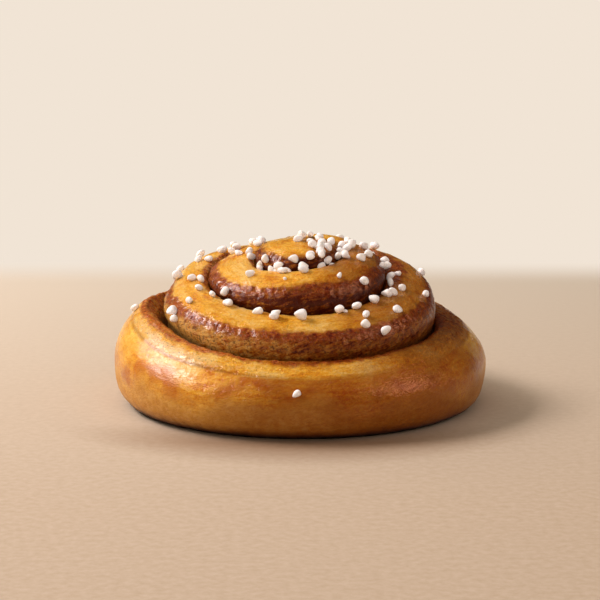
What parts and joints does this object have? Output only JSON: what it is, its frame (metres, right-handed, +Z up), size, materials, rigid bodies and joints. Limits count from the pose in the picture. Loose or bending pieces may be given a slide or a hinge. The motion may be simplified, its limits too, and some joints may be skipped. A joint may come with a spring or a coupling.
{
  "type": "cinnamon roll",
  "caption": "Baked cinnamon bun: one coiled strip of dough with a raised crown, a glazed brown crust and loose pearl sugar on top. It stands on its flat base.",
  "frame": {"origin": "middle of the flat base that the bun rests on", "axes": "+Z up through the crown; -Y faces the viewer in front, with the strip's tail end against the back at +Y"},
  "size_m": [0.1098, 0.1078, 0.051],
  "materials": {
    "crust": "baked dough, egg-washed and glossy on the outer skin, darker and rougher where the cinnamon filling shows",
    "pearl_sugar": "opaque white pressed sugar, matte with a few glints"
  },
  "bodies": {
    "root": {"baked_bun": "crust", "pearl_sugar_01": "pearl_sugar", "pearl_sugar_02": "pearl_sugar", "pearl_sugar_03": "pearl_sugar", "pearl_sugar_04": "pearl_sugar", "pearl_sugar_05": "pearl_sugar", "pearl_sugar_06": "pearl_sugar", "pearl_sugar_07": "pearl_sugar", "pearl_sugar_08": "pearl_sugar", "pearl_sugar_09": "pearl_sugar", "pearl_sugar_10": "pearl_sugar", "pearl_sugar_11": "pearl_sugar", "pearl_sugar_12": "pearl_sugar", "pearl_sugar_13": "pearl_sugar", "pearl_sugar_14": "pearl_sugar", "pearl_sugar_15": "pearl_sugar", "pearl_sugar_16": "pearl_sugar", "pearl_sugar_17": "pearl_sugar", "pearl_sugar_18": "pearl_sugar", "pearl_sugar_19": "pearl_sugar", "pearl_sugar_20": "pearl_sugar", "pearl_sugar_21": "pearl_sugar", "pearl_sugar_22": "pearl_sugar", "pearl_sugar_23": "pearl_sugar", "pearl_sugar_24": "pearl_sugar", "pearl_sugar_25": "pearl_sugar", "pearl_sugar_26": "pearl_sugar", "pearl_sugar_27": "pearl_sugar", "pearl_sugar_28": "pearl_sugar", "pearl_sugar_29": "pearl_sugar", "pearl_sugar_30": "pearl_sugar", "pearl_sugar_31": "pearl_sugar", "pearl_sugar_32": "pearl_sugar", "pearl_sugar_33": "pearl_sugar", "pearl_sugar_34": "pearl_sugar", "pearl_sugar_35": "pearl_sugar", "pearl_sugar_36": "pearl_sugar", "pearl_sugar_37": "pearl_sugar", "pearl_sugar_38": "pearl_sugar", "pearl_sugar_39": "pearl_sugar", "pearl_sugar_40": "pearl_sugar", "pearl_sugar_41": "pearl_sugar", "pearl_sugar_42": "pearl_sugar", "pearl_sugar_43": "pearl_sugar", "pearl_sugar_44": "pearl_sugar", "pearl_sugar_45": "pearl_sugar", "pearl_sugar_46": "pearl_sugar", "pearl_sugar_47": "pearl_sugar", "pearl_sugar_48": "pearl_sugar", "pearl_sugar_49": "pearl_sugar", "pearl_sugar_50": "pearl_sugar", "pearl_sugar_51": "pearl_sugar", "pearl_sugar_52": "pearl_sugar", "pearl_sugar_53": "pearl_sugar", "pearl_sugar_54": "pearl_sugar", "pearl_sugar_55": "pearl_sugar", "pearl_sugar_56": "pearl_sugar", "pearl_sugar_57": "pearl_sugar", "pearl_sugar_58": "pearl_sugar", "pearl_sugar_59": "pearl_sugar"}
  },
  "joints": []
}
